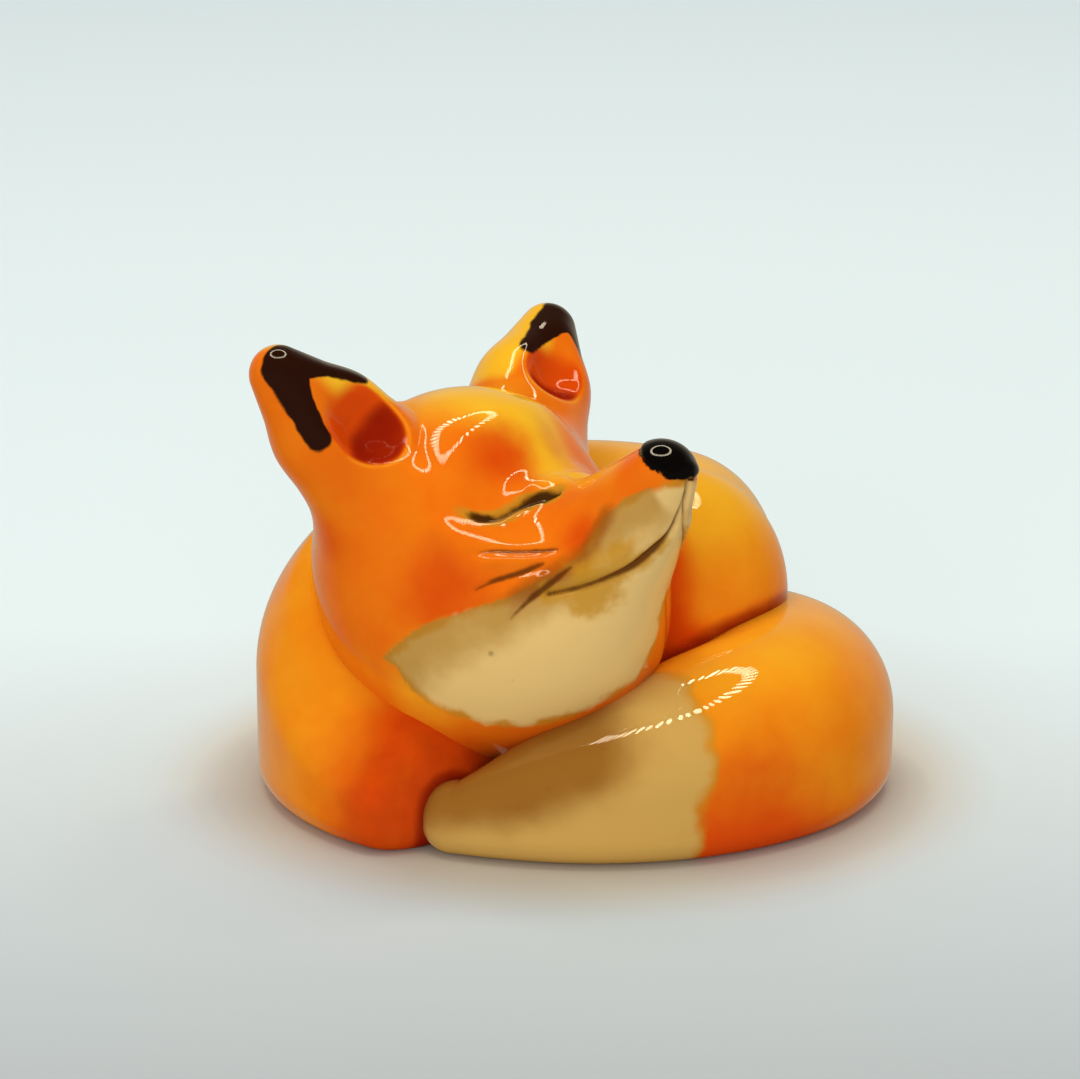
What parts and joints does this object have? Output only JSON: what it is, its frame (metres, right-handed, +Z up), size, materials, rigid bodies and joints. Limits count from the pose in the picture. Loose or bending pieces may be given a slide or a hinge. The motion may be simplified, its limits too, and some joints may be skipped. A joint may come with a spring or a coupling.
{
  "type": "fox figurine",
  "caption": "Small glazed ceramic fox lying curled up asleep, head raised and turned, ears up and tail wrapped round its front; a shelf ornament on a flat base.",
  "frame": {"origin": "middle of the figurine's box, in the plane of the ground base it stands on", "axes": "+Z up; +X to the viewer's right when the face side is seen, the way the muzzle mostly points; +Y away from that viewer, towards the fox's back"},
  "size_m": [0.0386, 0.0348, 0.0288],
  "materials": {
    "body_glaze": "clear gloss glaze over brushed orange",
    "head_glaze": "clear gloss glaze over brushed orange and cream",
    "ear_glaze": "clear gloss glaze over orange, dark red and black",
    "tail_glaze": "clear gloss glaze over orange and cream"
  },
  "bodies": {
    "root": {"body": "body_glaze", "head": "head_glaze", "left_ear": "ear_glaze", "right_ear": "ear_glaze", "tail": "tail_glaze"}
  },
  "joints": []
}
